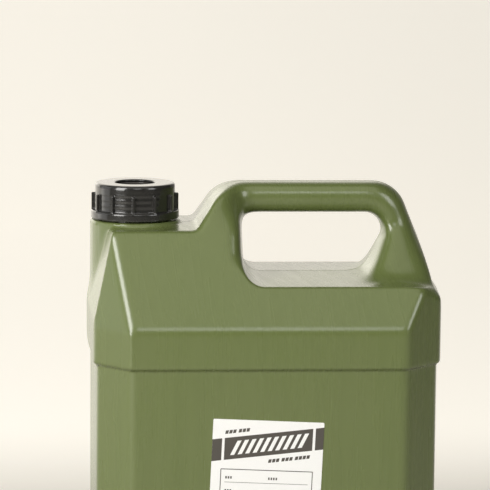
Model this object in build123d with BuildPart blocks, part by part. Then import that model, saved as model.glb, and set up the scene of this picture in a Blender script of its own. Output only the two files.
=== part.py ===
from build123d import *
import os

# A ten-litre blow-moulded fuel can with a carrying handle moulded in one piece with the tank,
# a screw closure of three pieces, and a paper label. Millimetres, +Z up, -Y the labelled front,
# Y = 0 the mould's parting plane, origin on the floor below the middle of the can.

# ------------------------------------------------------------------ driving dimensions
wall = 2.4                     # moulded wall of the body
handle_wall = 2.8              # moulded wall of the bar and its strut
edge_radius = 4.5              # upright and roof edges

# Plan outlines, a quarter each: parting point, side corner, front corner
band_plan = ((131.0, 0.0), (126.5, 49.7), (99.9, 76.2))
body_plan = ((128.3, 0.0), (124.1, 47.7), (99.6, 73.3))

# Heights above the floor
flat_top = 340.0               # filler end of the roof, beside the cap
foot_top = 27.0                # top of the foot band
band_low = flat_top - 98.4     # shoulder band
band_high = flat_top - 69.1
handle_top = flat_top + 30.3
band_lip = 1.2                 # rounding of the bands' lips
base_recess = 3.0              # panel under the base
base_rim = 24.0                # width of the rim that the can stands on

# Roof: the front and back slope from the band to this depth at the height of the flat top
roof_depth = 44.6
facet_apex = (-113.2, -46.4, flat_top - 4.0)   # top of the triangular facet at the filler end
side_ridge = (-131.0, 0.0, flat_top - 55.0)    # where the filler end's slope meets the parting plane

# Handle, in the parting plane: outer outline, finger opening, bar and strut
leg_foot_x, leg_top_x = -52.5, -32.8
bend_x, shoulder_z = 97.5, flat_top - 52.4
leg_foot_radius, leg_top_radius, bend_radius, shoulder_radius = 6.0, 30.0, 26.0, 15.0
bar_low = flat_top + 7.0
deck_z = flat_top - 37.5       # floor of the opening
opening_left = (-17.6, -15.2)  # at the top and at the floor of the opening
opening_right = (93.9, 73.0)
opening_radii = (9.0, 12.5, 5.0, 16.0)         # top left, top right, bottom right, bottom left
bar_start = -28.0              # where the bar leaves the inside of the leg
bar_half_depth = 16.0
bar_foot = deck_z - 10.0       # the strut is sunk in the body down to here
bar_upper_radius, bar_lower_radius = 7.0, 6.5
strut_start = 55.0             # the strut widens towards the deck beyond this line
strut_half_depth = 44.0        # at the deck
strut_top, strut_top_half_depth = flat_top - 3.0, 15.0
strut_radius = 4.0

# Filler: column, boss, neck and thread, all on one upright axis
filler_x = -95.7
column_radius = 33.0
boss_top = flat_top + 1.6
boss_round = 1.2
neck_bore, neck_radius = 21.5, 24.4
neck_top = flat_top + 24.0
pitch = 4.2
thread_sink = 0.3              # how far a thread's root is sunk in its wall
neck_thread = {
    "crest": 26.2, "crest_width": 1.1, "root_width": 2.4, "low": flat_top + 8.5, "turns": 3.25,
}

# Screw collar
collar_low, collar_top = flat_top + 3.4, flat_top + 29.3
flange_radius, flange_top, flange_round = 32.6, flat_top + 9.4, 1.0
collar_radius, collar_round = 29.6, 2.4
collar_bore, collar_plate = 27.0, 2.0
collar_hole, collar_hole_round = 14.35, 0.6
collar_thread = {
    "crest": 25.2, "crest_width": 1.0, "root_width": 2.2, "low": flat_top + 6.4, "turns": 3.5,
}
rib_count, rib_turn = 12, -3.0                 # the first rib stands this many degrees from the front
rib_radius, rib_width, rib_top, rib_round = 32.1, 2.0, flat_top + 21.6, 0.6

# Gasket and closure disc
gasket_thick, gasket_outer, gasket_inner = 1.6, 25.2, 21.8
disc_radius, disc_thick = 25.6, 1.5
well_radius, well_wall, well_depth, well_round = 15.2, 1.3, 8.5, 3.0

# Label
label_size, label_thick, label_corner = (80.4, 116.0), 0.25, 1.0
label_middle = (-2.7, flat_top - 193.2)        # x and z of its middle
label_turn = -3.2                              # degrees; the top edge drops to the right

over_top = handle_top + 10.0   # clear of everything above
beyond = 150.0                 # clear of everything beside
overlap = 1.0                  # how far solids that are joined reach into each other
near = 0.1                     # closeness for picking edges and faces
filler = Plane(origin=(filler_x, 0, 0))


# ------------------------------------------------------------------ outlines and planes
def plan_points(plan):
    """The ten corners of a plan outline, anticlockwise from the right-hand parting point."""
    (parting, _), side, front = plan
    back_right = [side, front]
    back_left = [(-x, y) for x, y in reversed(back_right)]
    front_left = [(-x, -y) for x, y in back_right]
    front_right = [(x, -y) for x, y in reversed(back_right)]
    return [(parting, 0.0)] + back_right + back_left + [(-parting, 0.0)] + front_left + front_right


def plan_prism(plan, low, high, inset=0.0, corner=0.0):
    """An upright prism of a plan outline moved in by the inset, with its corners rounded."""
    with BuildPart() as prism:
        with BuildSketch(Plane.XY.offset(low)) as outline:
            Polygon(*plan_points(plan), align=None)
            if inset:
                offset(amount=-inset, kind=Kind.INTERSECTION)
            if corner:
                fillet([v for v in outline.vertices() if abs(v.Y) > near], corner)
        extrude(amount=high - low)
    return prism.part


def roof_planes():
    """The planes that bound the roof, each with its normal outwards: front, facet and end slope."""
    side = Vector(-band_plan[1][0], -band_plan[1][1], band_high)
    front = Vector(-band_plan[2][0], -band_plan[2][1], band_high)
    front_right = Vector(-front.X, front.Y, band_high)
    top, apex, ridge = Vector(0, -roof_depth, flat_top), Vector(*facet_apex), Vector(*side_ridge)
    planes = []
    for a, b, c in ((front, front_right, top), (front, apex, side), (side, apex, ridge)):
        normal = (b - a).cross(c - a).normalized()
        if normal.Y > 0:
            normal = normal * -1
        planes.append(Plane(origin=a, z_dir=normal))
        planes.append(Plane(origin=(a.X, -a.Y, a.Z), z_dir=(normal.X, -normal.Y, normal.Z)))
    return planes


def through(points, radii, inset=0.0):
    """An outline in the XZ plane with rounded corners, moved in by the inset, cut through along Y."""
    with BuildPart() as solid:
        with BuildSketch(Plane.XZ) as face:
            Polygon(*points, align=None)
            for (x, z), radius in zip(points, radii):
                if radius:
                    fillet(face.vertices().sort_by_distance((x, z, 0))[0], radius)
            if inset:
                offset(amount=-inset, kind=Kind.INTERSECTION)
        extrude(amount=beyond, both=True)
    return solid.part


# ------------------------------------------------------------------ the tank's solids
def envelope(inset):
    """The head above the foot of the shoulder band, before the handle is cut free."""
    right = band_plan[0][0]
    points = [
        (-beyond, band_low), (right, band_low), (right, shoulder_z), (bend_x, handle_top),
        (leg_top_x, handle_top), (leg_foot_x, flat_top), (-beyond, flat_top),
    ]
    radii = [0, 0, shoulder_radius, bend_radius, leg_top_radius, leg_foot_radius, 0]
    with BuildPart() as solid:
        add(plan_prism(band_plan, band_low, over_top, inset))
        for plane in roof_planes():
            split(bisect_by=plane.offset(-inset), keep=Keep.BOTTOM)
        add(through(points, radii, inset), mode=Mode.INTERSECT)
    return solid.part


def block(inset):
    """The head without its handle: the filler end, the leg and the deck."""
    lean = (opening_left[0] - opening_left[1]) / (bar_low - deck_z)
    points = [
        (beyond, over_top), (beyond, deck_z), (opening_left[1], deck_z),
        (opening_left[1] + lean * (over_top - deck_z), over_top),
    ]
    with BuildPart() as solid:
        add(envelope(inset))
        add(through(points, [0, 0, opening_radii[3], 0], -inset), mode=Mode.SUBTRACT)
    return solid.part


def bar(inset):
    """A slab of the handle's depth."""
    with BuildPart() as solid:
        with BuildSketch(Plane.YZ.offset(bar_start)):
            with Locations((0, (bar_foot + over_top) / 2)):
                Rectangle(2 * (bar_half_depth - inset), over_top - bar_foot)
        extrude(amount=beyond - bar_start)
    return solid.part


def strut(inset):
    """A wedge that widens from the bar's depth down to the deck."""
    foot = bar_foot - wall
    half = [(strut_half_depth, foot), (strut_half_depth, deck_z), (strut_top_half_depth, strut_top)]
    with BuildPart() as solid:
        with BuildSketch(Plane.YZ.offset(strut_start)):
            Polygon(*half, *[(-y, z) for y, z in reversed(half)], align=None)
            if inset:
                offset(amount=-inset, kind=Kind.INTERSECTION)
        extrude(amount=beyond - strut_start)
    return solid.part


def cut_free(solids, inset):
    """Solids kept inside the head's outline and cleared of the finger opening."""
    points = [
        (opening_left[0], bar_low), (opening_right[0], bar_low),
        (opening_right[1], deck_z), (opening_left[1], deck_z),
    ]
    with BuildPart() as solid:
        for piece in solids:
            add(piece)
        add(envelope(inset), mode=Mode.INTERSECT)
        add(through(points, opening_radii, -inset), mode=Mode.SUBTRACT)
    return solid.part


def on_parting_corner(edge):
    """Whether an edge is the blunt upright one where the two halves of an end meet."""
    return abs(edge.center().Y) < near and abs(edge.center().X) > body_plan[1][0]


def rounded_block():
    with BuildPart() as solid:
        add(block(0))
        upper = solid.edges().filter_by(lambda e: e.center().Z > band_low + near)
        fillet([e for e in upper if not on_parting_corner(e)], edge_radius)
        fillet(solid.faces().sort_by(Axis.Z)[0].edges(), band_lip)
    return solid.part


def bar_side(solid):
    """The edges of a bar's two flat sides."""
    return solid.edges().filter_by(lambda e: abs(abs(e.center().Y) - bar_half_depth) < near)


def round_opening(edge):
    """Whether an edge of the bar's sides belongs to the finger opening."""
    middle = (bar_low + handle_top) / 2
    return bar_start + near < edge.center().X < bend_x and bar_foot + near < edge.center().Z < middle


def rounded_bar():
    """The bar with its outer edges and the edges round the finger opening rounded."""
    middle = (bar_low + handle_top) / 2
    with BuildPart() as solid:
        add(cut_free([bar(0)], 0))
        outer = [e for e in bar_side(solid) if e.center().Z > middle or e.center().X > bend_x]
        fillet(outer, bar_upper_radius)
        fillet([e for e in bar_side(solid) if round_opening(e)], bar_lower_radius)
    return solid.part


def rounded_strut():
    """The strut with its outer edges rounded."""
    with BuildPart() as solid:
        add(cut_free([strut(0)], 0))
        wide = solid.edges().filter_by(lambda e: abs(e.center().Y) > bar_half_depth)
        above = [e for e in wide if e.center().Z > deck_z + near]
        fillet([e for e in above if e.center().X > opening_right[0]], strut_radius)
    return solid.part


def foot_band():
    with BuildPart() as solid:
        add(plan_prism(band_plan, 0, foot_top, corner=edge_radius))
        fillet(solid.faces().filter_by(Axis.Z).edges(), band_lip)
    return solid.part


def cavity():
    """The space inside the tank, up to the underside of the boss."""
    with BuildPart() as space:
        add(block(wall))
        add(cut_free([bar(handle_wall), strut(handle_wall)], handle_wall))
        add(plan_prism(body_plan, wall, band_low + wall + overlap, wall))
        add(plan_prism(band_plan, wall, foot_top - wall, wall))
        add(plan_prism(body_plan, 0, base_recess + wall, base_rim - wall), mode=Mode.SUBTRACT)
        with BuildSketch(filler.offset(band_low)):
            Circle(column_radius - wall)
        extrude(amount=boss_top - wall - band_low)
    return space.part


def thread(wall_radius, size):
    """A helical ridge on the filler axis, its root sunk a little in the wall it stands on."""
    crest = size["crest"]
    sink = thread_sink if crest < wall_radius else -thread_sink
    with BuildPart() as ridge:
        with BuildLine() as line:
            Helix(pitch, size["turns"] * pitch, wall_radius, center=(filler_x, 0, size["low"]))
        with BuildSketch(Plane(origin=line.line @ 0, x_dir=(1, 0, 0), z_dir=line.line % 0)):
            root, tip = size["root_width"] / 2, size["crest_width"] / 2
            height = crest - wall_radius
            Polygon((sink, -root), (height, -tip), (height, tip), (sink, root), align=None)
        sweep(is_frenet=True)
    return ridge.part


def collar_ribs():
    """The grip ribs, drawn as the spokes of a star, with their outer edges rounded."""
    low = (collar_low + flange_top) / 2
    with BuildPart() as star:
        with BuildSketch(filler.offset(low)):
            with PolarLocations(rib_radius / 2, rib_count, start_angle=rib_turn - 90):
                Rectangle(rib_radius, rib_width)
        extrude(amount=rib_top - low)
        ends = star.faces().filter_by(lambda f: abs(f.area - rib_width * (rib_top - low)) < near)
        outer = [e for face in ends for e in face.edges() if e.center().Z > low + near]
        fillet(outer, rib_round)
    return star.part


# ------------------------------------------------------------------ finished pieces
with BuildPart() as tank_shell:
    add(rounded_block())
    add(rounded_bar())
    add(rounded_strut())
    add(plan_prism(body_plan, 0, band_low + overlap, corner=edge_radius))
    add(foot_band())
    add(plan_prism(body_plan, 0, base_recess, base_rim), mode=Mode.SUBTRACT)
    with BuildSketch(filler.offset(band_low + wall)):
        Circle(column_radius)
    extrude(amount=boss_top - band_low - wall)
    fillet(tank_shell.edges().filter_by_position(Axis.Z, boss_top - near, boss_top + near), boss_round)
    add(cavity(), mode=Mode.SUBTRACT)
    with BuildSketch(filler.offset(boss_top)):
        Circle(neck_radius)
    extrude(amount=neck_top - boss_top)
    add(thread(neck_radius, neck_thread))
    with BuildSketch(filler.offset(boss_top - 2 * wall)):
        Circle(neck_bore)
    extrude(amount=neck_top - boss_top + 2 * wall, mode=Mode.SUBTRACT)

with BuildPart() as screw_collar:
    with BuildSketch(filler.offset(collar_low)):
        Circle(flange_radius)
    extrude(amount=flange_top - collar_low)
    fillet(screw_collar.edges(), flange_round)
    add(collar_ribs())
    with BuildSketch(filler.offset(flange_top)):
        Circle(collar_radius)
    extrude(amount=collar_top - flange_top)
    fillet(screw_collar.edges().sort_by(Axis.Z)[-1], collar_round)
    with BuildSketch(filler.offset(collar_low)):
        Circle(collar_bore)
    extrude(amount=collar_top - collar_plate - collar_low, mode=Mode.SUBTRACT)
    with BuildSketch(filler.offset(collar_top - collar_plate)):
        Circle(collar_hole)
    extrude(amount=collar_plate, mode=Mode.SUBTRACT)
    fillet(screw_collar.faces().sort_by(Axis.Z)[-1].inner_wires()[0].edges(), collar_hole_round)
    add(thread(collar_bore, collar_thread))

with BuildPart() as neck_gasket:
    with BuildSketch(filler.offset(neck_top)):
        Circle(gasket_outer)
        Circle(gasket_inner, mode=Mode.SUBTRACT)
    extrude(amount=gasket_thick)

with BuildPart() as closure_disc:
    disc_low = neck_top + gasket_thick
    disc_top = disc_low + disc_thick
    with BuildSketch(filler.offset(disc_top - well_depth)):
        Circle(well_radius)
    extrude(amount=well_depth)
    fillet(closure_disc.edges().sort_by(Axis.Z)[0], well_round)
    with BuildSketch(filler.offset(disc_low)):
        Circle(disc_radius)
    extrude(amount=disc_thick)
    with BuildSketch(filler.offset(disc_top - well_depth + well_wall)):
        Circle(well_radius - well_wall)
    extrude(amount=well_depth - well_wall, mode=Mode.SUBTRACT)
    floor_edge = closure_disc.edges().filter_by(GeomType.CIRCLE).filter_by_position(
        Axis.Z, disc_top - well_depth + well_wall, disc_top - well_depth + well_wall)
    fillet(floor_edge, well_round - well_wall)

with BuildPart() as label:
    middle = (label_middle[0], -body_plan[2][1], label_middle[1])
    with BuildSketch(Plane(origin=middle, x_dir=(1, 0, 0), z_dir=(0, -1, 0))) as sheet:
        Rectangle(*label_size, rotation=label_turn)
        fillet(sheet.vertices(), label_corner)
    extrude(amount=label_thick)

pieces = {
    "tank_shell": tank_shell,
    "screw_collar": screw_collar,
    "neck_gasket": neck_gasket,
    "closure_disc": closure_disc,
    "label": label,
}
os.makedirs("parts", exist_ok=True)
for name, piece in pieces.items():
    piece.part.label = name
    export_step(piece.part, f"parts/{name}.step")
print("capacity to the boss, litres:", round(cavity().volume / 1e6, 2))
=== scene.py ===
import math

import bpy
import numpy as np
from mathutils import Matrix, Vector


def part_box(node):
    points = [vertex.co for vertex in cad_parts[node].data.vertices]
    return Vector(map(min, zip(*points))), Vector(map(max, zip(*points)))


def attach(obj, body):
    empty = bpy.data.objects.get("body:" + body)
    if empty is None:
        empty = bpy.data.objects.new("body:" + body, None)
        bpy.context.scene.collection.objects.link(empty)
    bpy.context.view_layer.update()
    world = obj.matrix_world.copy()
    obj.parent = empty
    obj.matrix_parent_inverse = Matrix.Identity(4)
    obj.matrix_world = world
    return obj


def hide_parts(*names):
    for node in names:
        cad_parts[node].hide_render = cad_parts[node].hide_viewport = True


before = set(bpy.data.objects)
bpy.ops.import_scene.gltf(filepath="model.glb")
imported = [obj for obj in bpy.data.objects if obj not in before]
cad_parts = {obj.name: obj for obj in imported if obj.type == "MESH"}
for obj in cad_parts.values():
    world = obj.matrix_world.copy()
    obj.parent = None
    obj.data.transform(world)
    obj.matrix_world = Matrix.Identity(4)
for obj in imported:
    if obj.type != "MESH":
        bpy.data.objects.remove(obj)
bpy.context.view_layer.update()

import openvdb
from mathutils import Matrix, Vector

MM = 0.001


# ------------------------------------------------------------------ places read from the frame, mm
def node_box(node):
    low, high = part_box(node)
    return np.array(low) / MM, np.array(high) / MM


tank_low, tank_high = node_box("tank_shell")
collar_low, collar_high = node_box("screw_collar")
disc_low, disc_high = node_box("closure_disc")
gasket_low, gasket_high = node_box("neck_gasket")
label_low, label_high = node_box("label")
filler_x = (collar_low[0] + collar_high[0]) / 2
half_width = tank_high[0]
handle_top = tank_high[2]
neck_top = gasket_low[2]
flat_top = neck_top - 24.0

# ------------------------------------------------------------------ the tank's shape, mm
# Plan outlines, a quarter each: parting point, side corner, front corner
band_plan = ((half_width, 0.0), (126.5, 49.7), (99.9, 76.2))
body_plan = ((128.3, 0.0), (124.1, 47.7), (99.6, 73.3))
foot_top = 27.0
band_low, band_high = flat_top - 98.4, flat_top - 69.1
base_recess, base_rim = 3.0, 24.0
roof_depth = 44.6              # half the roof's depth at the height of the flat top
facet_apex = (-113.2, 46.4, flat_top - 4.0)
side_ridge = (-half_width, 0.0, flat_top - 55.0)
bar_low, deck = flat_top + 7.0, flat_top - 36.9
opening_left, opening_right = (-17.6, -15.2), (93.9, 73.0)    # x under the bar and at the deck
bar_start, bar_half_depth = -28.0, 16.0
leg_foot_x, leg_top_x, bend_x = -52.5, -32.8, 97.5
strut_line_end = (155.2, flat_top - 112.4)                   # the strut's outer line, carried on below the shoulder
top_draft, deck_draft, wall_draft = (math.tan(math.radians(a)) for a in (1.6, 2.5, 4.0))
column_radius, boss_top, boss_taper = 33.0, flat_top + 2.4, 0.33
neck_bore, neck_radius = 21.5, 24.4
pitch = 4.2
strut_spread, strut_bend, strut_top = 0.66, 12.0, flat_top + 5.0
parting_bead, parting_bead_width = 0.12, 0.5

# Rounding radii; where there are two, the second is added where the ramp named after it is 1
leg_foot_radius, leg_top_radius, bend_radius = 6.0, 30.0, 26.0
opening_corner_left, opening_corner_right, opening_edge = 13.0, 12.5, 11.0
upright_radius, ridge_radius, shoulder_radius = 11.0, 1.8, 18.0
crease_radius, crease_right = 13.0, 9.0                      # left_to_right
corner_left, corner_right = 6.0, 8.0
deck_edge, leg_edge, leg_edge_top = 3.5, 10.0, 14.0          # leg_top_span
outer_edge, bar_edge, bend_edge = 6.5, 9.5, 6.5              # bend_span
lip_radius, lip_end = 2.4, 10.0                              # lip_end_x and lip_end_y
foot_lip, boss_edge, base_edge = 1.2, 0.8, 3.0
strut_foot_blend, column_blend, body_blend = 17.0, 3.0, 2.5

# Ramps, from 0 to 1 between two places
left_to_right, bend_span = (-20, 20), (72, 98)
deck_span, leg_top_span = (deck + 4, deck + 20), (flat_top - 5, flat_top + 25)
handle_x, handle_z = (-42, -6), (flat_top - 52, flat_top - 40)
lip_end_x, lip_end_y = (100, 128), (-34, -10)

far, run_on, sunk = 300.0, 60.0, 30.0                        # how far outlines are carried past what they cut


# ------------------------------------------------------------------ signed distances
def smooth_max(a, b, width):
    """The larger of two distances, rounded over where they differ by less than the width."""
    width = np.maximum(width, 1e-6)
    near = np.maximum(width - np.abs(a - b), 0) / width
    return np.maximum(a, b) + near**3 * width / 6


def smooth_min(a, b, width):
    return -smooth_max(-a, -b, width)


def rounding(radius, turn):
    """The smooth_max width that gives an edge this radius where its two faces turn by this angle."""
    return 6 * radius * (1 - math.cos(math.radians(turn) / 2))


def ramp(low, high, value):
    t = np.clip((value - low) / (high - low), 0, 1)
    return t * t * (3 - 2 * t)


def outline(points, radii):
    """A closed outline, anticlockwise, as straight runs and tangent arcs."""
    points = [np.array(p, float) for p in points]
    count = len(points)
    ends, arcs = [], []
    for i, radius in enumerate(radii):
        p, q, r = points[i - 1], points[i], points[(i + 1) % count]
        to_p, to_r = (p - q) / np.linalg.norm(p - q), (r - q) / np.linalg.norm(r - q)
        half = math.acos(float(to_p @ to_r)) / 2
        reach = radius / math.tan(half) if radius else 0.0
        start, end = q + to_p * reach, q + to_r * reach
        ends.append((start, end))
        if radius:
            middle = (to_p + to_r) / np.linalg.norm(to_p + to_r)
            centre = q + middle * radius / math.sin(half)
            convex = to_r[0] * to_p[1] - to_r[1] * to_p[0] > 0
            arcs.append((centre, radius, (start - centre) / radius, (end - centre) / radius, convex))
    runs = [(ends[i - 1][1], ends[i][0]) for i in range(count)]
    return runs, arcs


def outline_distance(shape, u, v):
    """Signed distance to an outline, negative inside."""
    runs, arcs = shape
    best, signed = np.full(u.shape, np.inf), np.zeros(u.shape)
    for p, q in runs:
        d = q - p
        length = np.linalg.norm(d)
        if length < 1e-9:
            continue
        d = d / length
        along = np.clip((u - p[0]) * d[0] + (v - p[1]) * d[1], 0, length)
        away = np.hypot(u - p[0] - along * d[0], v - p[1] - along * d[1])
        side = (u - p[0]) * d[1] - (v - p[1]) * d[0]
        closer = away < best
        best = np.where(closer, away, best)
        signed = np.where(closer, np.copysign(away, side), signed)
    for centre, radius, start, end, convex in arcs:
        du, dv = u - centre[0], v - centre[1]
        turn = 1 if convex else -1
        after = (start[0] * dv - start[1] * du) * turn >= 0
        before = (du * end[1] - dv * end[0]) * turn >= 0
        away = (np.hypot(du, dv) - radius) * turn
        closer = after & before & (np.abs(away) < best)
        best = np.where(closer, np.abs(away), best)
        signed = np.where(closer, away, signed)
    return signed


def plane_through(a, b, c):
    """Unit normal, pointing away from the tank's middle, and offset of the plane through three points."""
    a, b, c = (np.array(p, float) for p in (a, b, c))
    normal = np.cross(b - a, c - a)
    normal = normal / np.linalg.norm(normal)
    if normal[1] < 0:
        normal = -normal
    return normal, float(normal @ a)


def plan_sides(plan, x, y):
    """Distance to an upright prism's end and corner faces; x and y are already folded to one quarter."""
    faces = []
    for (x0, y0), (x1, y1) in ((plan[0], plan[1]), (plan[1], plan[2])):
        length = math.hypot(x1 - x0, y1 - y0)
        faces.append(((x - x0) * (y1 - y0) + (y - y0) * (x0 - x1)) / length)
    return smooth_max(faces[0], faces[1], rounding(upright_radius, 40))


def plan_distance(plan, x, y):
    """Signed distance to an upright prism of a plan outline."""
    return smooth_max(plan_sides(plan, x, y), y - plan[2][1], rounding(upright_radius, 45))


# ------------------------------------------------------------------ the tank
head_outline = outline(
    [(-far, band_low - run_on), (far, band_low - run_on), strut_line_end, (bend_x, handle_top),
     (leg_top_x, handle_top), (leg_foot_x, flat_top), (-far, flat_top)],
    [0, 0, 0, bend_radius, leg_top_radius, leg_foot_radius, 0],
)
lean = (opening_left[0] - opening_left[1]) / (bar_low - deck)
beyond_leg = outline(
    [(far, handle_top + run_on), (opening_left[1] + lean * (handle_top + run_on - deck), handle_top + run_on),
     (opening_left[1], deck), (far, deck)],
    [0, 0, opening_corner_left, 0],
)
strut_lean = (opening_right[0] - opening_right[1]) / (bar_low - deck)
bar_opening = outline(
    [(opening_left[0] - sunk, bar_low), (opening_left[0] - sunk, deck - sunk),
     (opening_right[1] - sunk * strut_lean, deck - sunk), (opening_right[0], bar_low)],
    [0, 0, 0, opening_corner_right],
)
corner_side = (-band_plan[1][0], band_plan[1][1], band_high)
corner_front = (-band_plan[2][0], band_plan[2][1], band_high)
facet_plane = plane_through(corner_front, facet_apex, corner_side)
end_plane = plane_through(corner_side, facet_apex, side_ridge)
slope_plane = plane_through(corner_front, (0, roof_depth, flat_top), (50, roof_depth, flat_top))


def handle_slab(x, y, z):
    """The bar's depth either side of the parting plane, spreading down the strut towards the deck."""
    fall = np.clip(strut_top - z, 0, strut_top - deck)
    half_depth = bar_half_depth + strut_spread * fall**3 / (fall**2 + strut_bend**2)
    slope = strut_spread * fall**2 * (fall**2 + 3 * strut_bend**2) / (fall**2 + strut_bend**2) ** 2
    slab = (y - half_depth) / np.sqrt(1 + slope**2)
    opening = outline_distance(bar_opening, x, z) - wall_draft * y
    slab = smooth_max(slab, -opening, rounding(opening_edge, 90))
    return np.maximum(np.maximum(slab, bar_start - x), deck - 12 - z)


def head_field(x, y, z):
    """The head: sloping roof, leg, deck, bar and strut."""
    p = [n[0] * x + n[1] * y + n[2] * z - d for n, d in (slope_plane, facet_plane, end_plane)]
    right = ramp(*left_to_right, x)
    roof = smooth_max(p[0], p[1], rounding(crease_radius + crease_right * right, 42))
    roof = smooth_max(roof, p[2], rounding(ridge_radius, 42))

    above_deck = ramp(*deck_span, z)
    space = outline_distance(beyond_leg, x, z) - (deck_draft * (1 - above_deck) + wall_draft * above_deck) * y
    leg_width = rounding(leg_edge + leg_edge_top * ramp(*leg_top_span, z), 90)
    block = smooth_max(roof, -space, rounding(deck_edge, 66) * (1 - above_deck) + leg_width * above_deck)
    solid = smooth_min(block, handle_slab(x, y, z), strut_foot_blend)
    solid = smooth_max(solid, y - band_plan[2][1], rounding(shoulder_radius, 25))
    corner_width = rounding(corner_left, 25) * (1 - right) + rounding(corner_right, 50) * right
    solid = smooth_max(solid, plan_sides(band_plan, np.abs(x), y), corner_width)

    over = outline_distance(head_outline, x, z) + top_draft * y
    on_handle = ramp(*handle_x, x) * ramp(*handle_z, z)
    handle_width = rounding(bar_edge + bend_edge * ramp(*bend_span, x), 90)
    return smooth_max(solid, over, rounding(outer_edge, 66) * (1 - on_handle) + handle_width * on_handle)


def tank_field(x, y, z):
    """Signed distance to the outside of the tank below its neck."""
    side, radius = np.abs(y), np.hypot(x - filler_x, y)
    lip = rounding(lip_radius + lip_end * ramp(*lip_end_x, -x) * ramp(*lip_end_y, -side), 90)
    head = smooth_max(head_field(x, side, z), band_low - z, lip)
    body = smooth_max(plan_distance(body_plan, np.abs(x), side), z - band_low - 10, 1.0)
    foot = smooth_max(plan_distance(band_plan, np.abs(x), side), z - foot_top, rounding(foot_lip, 90))
    taper = boss_taper * np.maximum(z - flat_top, 0)
    column = smooth_max(radius - column_radius + taper, z - boss_top, rounding(boss_edge, 90))
    column = smooth_max(column, band_low + 4 - z, 1.0)
    solid = smooth_min(smooth_min(head, column, column_blend), smooth_min(body, foot, body_blend), body_blend)
    solid = smooth_max(solid, -z, rounding(base_edge, 90))
    panel = smooth_max(plan_distance(body_plan, np.abs(x), side) + base_rim, z - base_recess, 1.0)
    solid = smooth_max(solid, -panel, 1.5)
    bore = np.maximum(radius - neck_bore - 0.5, band_high - z)
    solid = np.maximum(solid, -bore)
    return solid - parting_bead * np.exp(-((y / parting_bead_width) ** 2)) * ramp(0, 4, z)


# ------------------------------------------------------------------ meshes from signed distances
def gradient(field, points, step=0.02):
    slope = np.empty_like(points)
    for axis in range(3):
        offset = np.zeros(3)
        offset[axis] = step
        slope[:, axis] = (field(*(points + offset).T) - field(*(points - offset).T)) / (2 * step)
    return slope


def field_mesh(name, field, axes, settle=5):
    """A closed mesh of a field's zero surface, its points brought onto the surface and its normals exact."""
    x, y, z = np.meshgrid(*axes, indexing="ij")
    values = np.empty(x.shape, np.float32)
    for i in range(len(axes[0])):
        values[i] = field(x[i], y[i], z[i])
    grid = openvdb.FloatGrid(float(values.max()))
    grid.copyFromArray(values)
    points, quads = grid.convertToQuads(isovalue=0.0)
    index = points.astype(float)
    points = np.stack([np.interp(index[:, i], np.arange(len(axes[i])), axes[i]) for i in range(3)], axis=1)
    for _ in range(settle):
        slope = gradient(field, points)
        size = np.maximum((slope**2).sum(1), 0.1)
        move = -slope * (field(*points.T) / size)[:, None]
        points += np.clip(move, -0.8, 0.8)
    slope = gradient(field, points)
    normals = slope / np.maximum(np.linalg.norm(slope, axis=1), 1e-9)[:, None]
    corners = points[quads]
    facing = np.cross(corners[:, 2] - corners[:, 0], corners[:, 3] - corners[:, 1])
    if (facing * normals[quads[:, 0]]).sum() < 0:
        quads = quads[:, ::-1]
    mesh = bpy.data.meshes.new(name)
    mesh.from_pydata((points * MM).tolist(), [], quads.tolist())
    mesh.update()
    mesh.polygons.foreach_set("use_smooth", np.ones(len(quads), bool))
    mesh.normals_split_custom_set_from_vertices(normals.tolist())
    piece = bpy.data.objects.new(name, mesh)
    bpy.context.scene.collection.objects.link(piece)
    return piece


def even(low, high, step):
    return np.linspace(low, high, int(math.ceil((high - low) / step)) + 1)


def fine_at_parting(reach, fine, coarse, growth):
    """Levels either side of Y = 0, close together at the parting bead and wider apart away from it."""
    levels, step = [0.0], fine
    while levels[-1] < reach:
        levels.append(levels[-1] + step)
        if levels[-1] > 4 * fine:
            step = min(step * growth, coarse)
    return np.array([-v for v in levels[:0:-1]] + levels)


mesh_step = 2.15
tank = field_mesh(
    "tank_body",
    tank_field,
    (even(tank_low[0] - 4, tank_high[0] + 4, mesh_step),
     fine_at_parting(tank_high[1] + 4, 0.3, mesh_step, 1.35),
     even(-4, handle_top + 4, mesh_step)),
)
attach(tank, "tank")
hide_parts("tank_shell")


# ------------------------------------------------------------------ closure pieces, mm about the filler axis
collar_radius, collar_round, collar_bore, collar_plate = 29.6, 2.4, 27.0, 2.0
flange_radius, flange_top = 32.6, flat_top + 9.4
flange_edge, rib_edge, hole_edge = 1.2, 0.6, 1.8
ring_height, ring_depth = flat_top + 14.1, 0.035             # faint ring marks on the skirt, one a thread pitch
hole_radius = 14.35
rib_count, rib_turn, rib_radius, rib_half_width, rib_top = 12, -93.0, 32.1, 1.0, flat_top + 21.6
gasket_outer, gasket_inner = 25.2, 21.8
disc_radius, disc_thick = 25.6, disc_high[2] - gasket_high[2]
well_radius, well_wall, well_low = 15.2, 1.3, disc_low[2]


def polar(x, y):
    return np.hypot(x - filler_x, y), np.arctan2(y, x - filler_x)


def thread_field(radius, angle, z, wall_radius, crest, half_widths, low, turns):
    """A helical ridge from a wall's radius to its crest, with slanted flanks; half widths at wall and crest."""
    rise = z - low - pitch * angle / (2 * math.pi)
    beside = np.abs((rise + pitch / 2) % pitch - pitch / 2)
    share = (radius - wall_radius) / (crest - wall_radius)
    flank = (beside - half_widths[0] - (half_widths[1] - half_widths[0]) * share) * 0.9
    reach = (radius - crest) * math.copysign(1, crest - wall_radius)
    ends = np.maximum(low - z, z - low - turns * pitch)
    return smooth_max(smooth_max(flank, reach, 0.5), ends, 0.8)


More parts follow.
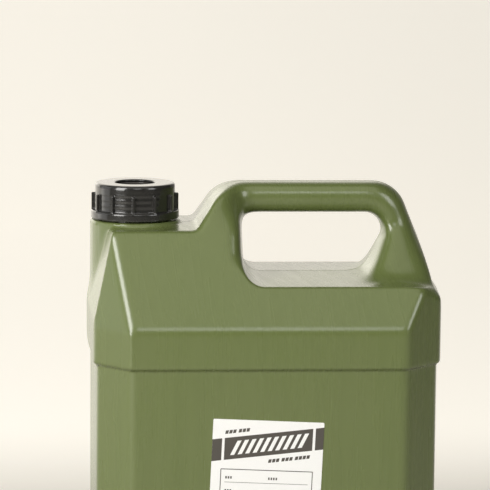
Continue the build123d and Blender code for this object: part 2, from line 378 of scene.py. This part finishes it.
def neck_field(x, y, z):
    radius, angle = polar(x, y)
    wall = smooth_max(radius - neck_radius, z - neck_top, rounding(0.8, 90))
    wall = smooth_min(wall, thread_field(radius, angle, z, neck_radius, 26.2, (1.2, 0.55), flat_top + 8.5, 3.25), 0.8)
    wall = smooth_max(wall, neck_bore - radius, 0.8)
    return smooth_max(wall, boss_top - 3 - z, 0.3)


def collar_field(x, y, z):
    radius, angle = polar(x, y)
    flange = smooth_max(radius - flange_radius, z - flange_top, rounding(flange_edge, 90))
    rings = ring_depth * np.cos(2 * math.pi * (z - ring_height) / pitch) * ramp(flange_top, flange_top + 2, z)
    skirt = radius - collar_radius - rings * ramp(-rib_top - 3, -rib_top, -z)
    skirt = smooth_max(skirt, z - collar_high[2], rounding(collar_round, 90))
    spacing = 2 * math.pi / rib_count
    beside = (angle - math.radians(rib_turn) + spacing / 2) % spacing - spacing / 2
    rib = smooth_max(np.abs(radius * np.sin(beside)) - rib_half_width, radius * np.cos(beside) - rib_radius, 1.1)
    rib = smooth_max(rib, z - rib_top, rounding(rib_edge, 90))
    solid = smooth_min(smooth_min(flange, skirt, 1.2), rib, 0.8)
    solid = smooth_max(solid, collar_low[2] - z, rounding(0.8, 90))
    bore = smooth_max(radius - collar_bore, z - collar_high[2] + collar_plate, 1.0)
    bore = smooth_max(bore, -thread_field(radius, angle, z, collar_bore, 25.2, (1.1, 0.5), flat_top + 6.4, 3.5), 0.5)
    solid = smooth_max(solid, -bore, 0.6)
    return smooth_max(solid, hole_radius - radius, rounding(hole_edge, 90))


def disc_field(x, y, z):
    radius, _ = polar(x, y)
    plate = smooth_max(radius - disc_radius, np.abs(z - disc_high[2] + disc_thick / 2) - disc_thick / 2, 0.8)
    cup = smooth_max(radius - well_radius, np.abs(z - (well_low + disc_high[2]) / 2) - (disc_high[2] - well_low) / 2,
                     rounding(3.0, 90) * (z < disc_low[2] + 4) + 0.4)
    inside = smooth_max(radius - well_radius + well_wall, well_low + well_wall - z, rounding(1.7, 90))
    return smooth_max(smooth_min(plate, cup, 1.0), -inside, 0.6)


def gasket_field(x, y, z):
    radius, _ = polar(x, y)
    ring = smooth_max(radius - gasket_outer, gasket_inner - radius, 0.1)
    half = (gasket_high[2] - gasket_low[2]) / 2
    return smooth_max(ring, np.abs(z - gasket_low[2] - half) - half, rounding(0.5, 90))


def closure_piece(name, field, low, high, step, body, node):
    """A piece on the filler axis, meshed from its field over its own box."""
    step = step
    axes = [even(a - 2 * step, b + 2 * step, step) for a, b in zip(low, high)]
    piece = field_mesh(name, field, axes)
    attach(piece, body)
    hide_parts(node)
    return piece


neck_low = np.array((filler_x - 27, -27, boss_top - 3))
neck_high = np.array((filler_x + 27, 27, neck_top))
neck = closure_piece("filler_neck", neck_field, neck_low, neck_high, 0.5, "tank", "tank_shell")
collar = closure_piece("screw_cap_collar", collar_field, collar_low, collar_high, 0.55, "collar", "screw_collar")
disc = closure_piece("cap_disc", disc_field, disc_low, disc_high, 0.5, "closure", "closure_disc")
gasket = closure_piece("cap_gasket", gasket_field, gasket_low, gasket_high, 0.4, "closure", "neck_gasket")


# ------------------------------------------------------------------ label, mm from its middle
label_size, label_turn, label_lift = (80.4, 116.0), math.radians(-2.45), 0.25
label_middle = (label_low + label_high) / 2
label_face = label_low[1]


def on_label(u, v, proud=0.0):
    """A point of the label's face, in metres."""
    x = label_middle[0] + u * math.cos(label_turn) - v * math.sin(label_turn)
    z = label_middle[2] + u * math.sin(label_turn) + v * math.cos(label_turn)
    return x * MM, (label_face - proud) * MM, z * MM


def flat_piece(name, outlines, depth, proud):
    """Flat shapes on the label's face, each an outline given clockwise as seen, with a little depth."""
    points, faces = [], []
    for shape in outlines:
        first, count = len(points), len(shape)
        points += [on_label(u, v, proud) for u, v in shape] + [on_label(u, v, proud - depth) for u, v in shape]
        faces.append([first + i for i in range(count)])
        faces.append([first + count + i for i in reversed(range(count))])
        faces += [(first + i, first + count + i, first + count + (i + 1) % count, first + (i + 1) % count)
                  for i in range(count)]
    mesh = bpy.data.meshes.new(name)
    mesh.from_pydata(points, [], faces)
    mesh.update()
    piece = bpy.data.objects.new(name, mesh)
    bpy.context.scene.collection.objects.link(piece)
    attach(piece, "tank")
    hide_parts("label")
    return piece


def rounded_sheet(width, height, corner, steps=6):
    shape = []
    for cu, cv, start in ((1, 1, 90), (1, -1, 0), (-1, -1, -90), (-1, 1, -180)):
        for i in range(steps + 1):
            angle = math.radians(start - 90 * i / steps)
            shape.append((cu * (width / 2 - corner) + corner * math.cos(angle),
                          cv * (height / 2 - corner) + corner * math.sin(angle)))
    return shape


def bar_shape(u0, u1, v0, v1, slope=0.0, lean=0.0):
    """A bar between two u and two v, rising along u by the slope, its ends leaning with v."""
    def at(u, v):
        return u + lean * (v - (v0 + v1) / 2), v + slope * u
    return [at(u0, v1), at(u1, v1), at(u1, v0), at(u0, v0)]


band_slope, band_middle, band_half = 0.144, 40.6, 8.1
dash_width, dash_lean, mark_width = 2.2, 0.2, 1.1
stripe_width, stripe_half, stripe_gap, stripe_lean = 3.0, 5.4, 5.4, 0.45
rule_half, thin_rule_half, row_height = 0.3, 0.16, 9.6
paper_sheet = flat_piece("label_sheet", [rounded_sheet(*label_size, 1.0)], label_lift, 0.0)
band_cuts = (-40.2, -33.2, -31.3, 32.3, 34.2, 40.2)
band = [bar_shape(a, b, band_middle - band_half, band_middle + band_half, band_slope)
        for a, b in zip(band_cuts[::2], band_cuts[1::2])]
dashes = [bar_shape(u, u + dash_width, band_middle + 11.0, band_middle + 13.6, band_slope, dash_lean)
          for u in (-31.0, -28.2, -25.4, -21.4, -18.6, -15.8)]
dashes += [bar_shape(u, u + dash_width, band_middle - 13.8, band_middle - 11.2, band_slope, dash_lean)
           for u in (1.0, 3.8, 6.6, 10.6, 13.4, 16.2, 20.2, 23.0, 25.8, 28.6)]
rows = [21.4 - row_height * i for i in range(8)]
box_left, box_right = -33.0, 33.4
form = [bar_shape(box_left, box_right, v - rule_half, v + rule_half) for v in (rows[0], rows[-1])]
form += [bar_shape(u - rule_half, u + rule_half, rows[-1], rows[0]) for u in (box_left, box_right)]
form += [bar_shape(box_left + 3.0, box_right - 3.0, v - thin_rule_half, v + thin_rule_half)
         for v in rows[1:-1]]
form += [bar_shape(u, u + mark_width, v + 2.6, v + 4.4) for v in rows[1:-1] for u in (-29.6, -27.8, -26.0)]
form += [bar_shape(u, u + mark_width, rows[1] + 2.6, rows[1] + 4.4) for u in (1.5, 3.3, 5.1, 6.9)]
ink_print = flat_piece("label_print", band + dashes + form, 0.03, 0.03)
stripes = [bar_shape(u, u + stripe_width, band_middle - stripe_half, band_middle + stripe_half,
                     band_slope, stripe_lean) for u in np.arange(-24.5, 28.0, stripe_gap)]
band_stripes = flat_piece("label_band_stripes", stripes, 0.03, 0.05)


# ------------------------------------------------------------------ materials
def material(name, colour, roughness):
    made = bpy.data.materials.new(name)
    made.use_nodes = True
    shader = made.node_tree.nodes["Principled BSDF"]
    shader.inputs["Base Color"].default_value = (*colour, 1)
    shader.inputs["Roughness"].default_value = roughness
    return made, made.node_tree, shader


def add_noise(tree, scale, stretch, detail=3.0, turn_z=0.0, distortion=0.0):
    """Noise over object coordinates in metres, stretched along each axis; gives its output socket."""
    place = tree.nodes.new("ShaderNodeTexCoord")
    mapping = tree.nodes.new("ShaderNodeMapping")
    mapping.vector_type = "TEXTURE"
    mapping.inputs["Scale"].default_value = [1 / s for s in stretch]
    mapping.inputs["Rotation"].default_value = (0, 0, turn_z)
    noise = tree.nodes.new("ShaderNodeTexNoise")
    noise.inputs["Scale"].default_value = scale
    noise.inputs["Detail"].default_value = detail
    noise.inputs["Distortion"].default_value = distortion
    tree.links.new(place.outputs["Object"], mapping.inputs["Vector"])
    tree.links.new(mapping.outputs["Vector"], noise.inputs["Vector"])
    return noise.outputs["Fac"]


def spread(tree, value, low, high):
    """Maps the middle of a noise to a range."""
    ranged = tree.nodes.new("ShaderNodeMapRange")
    ranged.inputs["From Min"].default_value = 0.3
    ranged.inputs["From Max"].default_value = 0.7
    ranged.inputs["To Min"].default_value = low
    ranged.inputs["To Max"].default_value = high
    tree.links.new(value, ranged.inputs["Value"])
    return ranged.outputs["Result"]


def mix_colour(tree, factor, first, second):
    mixed = tree.nodes.new("ShaderNodeMix")
    mixed.data_type = "RGBA"
    tree.links.new(factor, mixed.inputs["Factor"])
    for socket, value in ((mixed.inputs[6], first), (mixed.inputs[7], second)):
        if isinstance(value, tuple):
            socket.default_value = (*value, 1)
        else:
            tree.links.new(value, socket)
    return mixed.outputs[2]


def add_bump(tree, shader, height, depth):
    bump = tree.nodes.new("ShaderNodeBump")
    bump.inputs["Strength"].default_value = 1.0
    bump.inputs["Distance"].default_value = depth
    tree.links.new(height, bump.inputs["Height"])
    tree.links.new(bump.outputs["Normal"], shader.inputs["Normal"])


def olive_plastic():
    """Blow-moulded polyethylene: satin, with faint flow streaks down the walls and swirls on level faces."""
    olive, olive_deep = (0.125, 0.159, 0.048), (0.118, 0.151, 0.044)
    made, tree, shader = material("olive_polyethylene", olive, 0.2)
    shader.inputs["IOR"].default_value = 1.54
    shader.inputs["Coat Weight"].default_value = 0.5
    shader.inputs["Coat Roughness"].default_value = 0.17
    streaks = add_noise(tree, 1.0, (170, 170, 7), 2.0)
    clouds = add_noise(tree, 1.0, (16, 16, 10), 2.0)
    colour = mix_colour(tree, spread(tree, streaks, 0, 1), olive_deep, olive)
    colour = mix_colour(tree, spread(tree, clouds, 0, 0.5), colour, (0.132, 0.161, 0.055))
    tree.links.new(colour, shader.inputs["Base Color"])
    swirls = add_noise(tree, 1.0, (200, 24, 8), 1.2, math.radians(16), 0.4)
    tree.links.new(spread(tree, swirls, 0.25, 0.3), shader.inputs["Roughness"])
    add_bump(tree, shader, swirls, 0.000008)
    return made


def cap_plastic(name, colour, roughness, coat=0.5):
    """Injection-moulded black plastic with a fine uneven gloss."""
    made, tree, shader = material(name, colour, roughness)
    grain = add_noise(tree, 900.0, (1, 1, 1), 3.0)
    tree.links.new(spread(tree, grain, roughness - 0.03, roughness + 0.04), shader.inputs["Roughness"])
    dust = add_noise(tree, 220.0, (1, 1, 0.4), 4.0)
    lighter = tuple(1.5 * c for c in colour)
    tree.links.new(mix_colour(tree, spread(tree, dust, 0, 1), colour, lighter), shader.inputs["Base Color"])
    add_bump(tree, shader, grain, 0.000004)
    shader.inputs["Coat Weight"].default_value = coat
    shader.inputs["Coat Roughness"].default_value = 0.04
    return made


def paper(name, colour, roughness=0.55):
    """Coated label paper: a fine fibre in the colour and the surface."""
    made, tree, shader = material(name, colour, roughness)
    fibre = add_noise(tree, 1400.0, (1, 1, 1), 4.0)
    darker = tuple(0.95 * c for c in colour)
    tree.links.new(mix_colour(tree, spread(tree, fibre, 0, 1), colour, darker), shader.inputs["Base Color"])
    add_bump(tree, shader, fibre, 0.00002)
    return made


olive = olive_plastic()
white_paper = paper("label_white", (0.9, 0.9, 0.885))
ink = paper("label_ink", (0.082, 0.074, 0.063), 0.45)
for piece, finish in (
    (tank, olive), (neck, olive), (collar, cap_plastic("cap_black", (0.017, 0.0165, 0.015), 0.18)),
    (disc, cap_plastic("disc_black", (0.05, 0.046, 0.041), 0.14)),
    (gasket, cap_plastic("gasket_black", (0.02, 0.02, 0.02), 0.6, 0.0)),
    (paper_sheet, white_paper), (band_stripes, white_paper), (ink_print, ink),
):
    piece.data.materials.append(finish)

# ------------------------------------------------------------------ camera
turn, tip, roll = (math.radians(a) for a in (3.557, 8.346, 0.478))
forward = Vector((math.sin(turn) * math.cos(tip), math.cos(turn) * math.cos(tip), -math.sin(tip)))
right = Vector((math.cos(turn), -math.sin(turn), 0))
up = right.cross(forward)
across = right * math.cos(roll) + up * math.sin(roll)
upright = -right * math.sin(roll) + up * math.cos(roll)
camera_data = bpy.data.cameras.new("camera")
camera_data.sensor_width = 36.0
camera_data.lens = 206.1007
camera = bpy.data.objects.new("camera", camera_data)
camera.matrix_world = Matrix((
    (across.x, upright.x, -forward.x, -0.14168),
    (across.y, upright.y, -forward.y, -2.05199),
    (across.z, upright.z, -forward.z, (flat_top + 283.75) * MM),
    (0, 0, 0, 1),
))
bpy.context.scene.collection.objects.link(camera)
bpy.context.scene.camera = camera


# ------------------------------------------------------------------ backdrop and lights
def backdrop():
    """A pale sweep: floor, curve and wall in one sheet, glowing from its own emission as painted light, brighter in
    some places and dimmer in others.
    """
    depth, curve, height, half = 2.4, 1.6, 6.0, 6.0
    line = [(-6.0, 0.0), (depth, 0.0)]
    for i in range(1, 25):
        angle = math.pi / 2 * i / 24
        line.append((depth + curve * math.sin(angle), curve - curve * math.cos(angle)))
    line.append((depth + curve, height))
    points = [(x, y, z) for x in (-half, half) for y, z in line]
    count = len(line)
    faces = [(i, i + 1, count + i + 1, count + i) for i in range(count - 1)]
    mesh = bpy.data.meshes.new("backdrop")
    mesh.from_pydata(points, [], faces)
    mesh.update()
    mesh.polygons.foreach_set("use_smooth", [True] * len(faces))
    sheet = bpy.data.objects.new("backdrop", mesh)
    bpy.context.scene.collection.objects.link(sheet)
    made, tree, surface = material("backdrop_paper_painted_glow", (0.62, 0.6, 0.55), 1.0)
    surface.inputs["Specular IOR Level"].default_value = 0.0
    surface.inputs["Emission Color"].default_value = (1.0, 0.955, 0.865, 1)
    place = tree.nodes.new("ShaderNodeTexCoord")
    parts = tree.nodes.new("ShaderNodeSeparateXYZ")
    tree.links.new(place.outputs["Object"], parts.inputs["Vector"])

    def along(axis, low, high, at_low, at_high):
        ranged = tree.nodes.new("ShaderNodeMapRange")
        ranged.interpolation_type = "SMOOTHSTEP"
        for name, value in (("From Min", low), ("From Max", high), ("To Min", at_low), ("To Max", at_high)):
            ranged.inputs[name].default_value = value
        tree.links.new(parts.outputs[axis], ranged.inputs["Value"])
        return ranged.outputs["Result"]

    def times(first, second):
        product = tree.nodes.new("ShaderNodeMath")
        product.operation = "MULTIPLY"
        tree.links.new(first, product.inputs[0])
        tree.links.new(second, product.inputs[1])
        return product.outputs["Value"]

    # Painted light: the sheet's emission is nil near the can and fades in behind it. It is painted brighter to the
    # left and higher up, and dimmer at the far right and near the top of the wall.
    glow = times(along("Y", 0.2, 0.9, 0.0, backdrop_glow), along("X", -0.35, 0.8, 1.04, 0.97))
    glow = times(glow, times(along("X", -1.1, -0.4, 1.9, 1.0), along("X", 0.9, 1.8, 1.0, 0.12)))
    glow = times(glow, times(along("Z", 0.3, 0.9, 1.0, 1.68), along("Z", 1.8, 3.2, 1.0, 0.25)))
    tree.links.new(glow, surface.inputs["Emission Strength"])
    mesh.materials.append(made)


def area_light(name, azimuth, elevation, distance, size, radiance, colour=(1, 1, 1)):
    """A rectangular light aimed at the can; azimuth from the front, to the right; radiance off its face."""
    azimuth, elevation = math.radians(azimuth), math.radians(elevation)
    away = Vector((math.sin(azimuth) * math.cos(elevation), -math.cos(azimuth) * math.cos(elevation),
                   math.sin(elevation)))
    data = bpy.data.lights.new(name, "AREA")
    data.shape = "RECTANGLE"
    data.size, data.size_y = size
    data.energy = radiance * math.pi * size[0] * size[1]
    data.color = colour
    lamp = bpy.data.objects.new(name, data)
    lamp.location = Vector((0, 0, 0.24)) + away * distance
    lamp.rotation_euler = away.to_track_quat("Z", "Y").to_euler()
    lamp.visible_camera = False
    bpy.context.scene.collection.objects.link(lamp)


def studio_world():
    """Dim all round, but pale where the camera sees past the sweep."""
    world = bpy.data.worlds.new("studio")
    world.use_nodes = True
    tree = world.node_tree
    background = tree.nodes["Background"]
    background.inputs["Strength"].default_value = 1.0
    seen = tree.nodes.new("ShaderNodeLightPath")
    colour = mix_colour(tree, seen.outputs["Is Camera Ray"], room_light, (0.86, 0.83, 0.76))
    tree.links.new(colour, background.inputs["Color"])
    bpy.context.scene.world = world


backdrop_glow = 0.63
room_light = (0.06, 0.058, 0.055)
backdrop()
studio_world()
area_light("key", -46, 21.5, 1.8, (0.8, 1.3), 9.2, (1.0, 0.985, 0.96))
area_light("reflector_left", -95, 15, 1.9, (1.2, 1.6), 0.9)
area_light("overhead", 0, 62, 2.4, (2.4, 2.3), 0.75, (1.0, 0.95, 0.86))
area_light("strip_right", 46, 22, 2.0, (0.72, 0.9), 4.1)
area_light("front", 4, 24, 2.7, (0.9, 0.62), 3.3)
bpy.context.scene.view_settings.view_transform = "Standard"
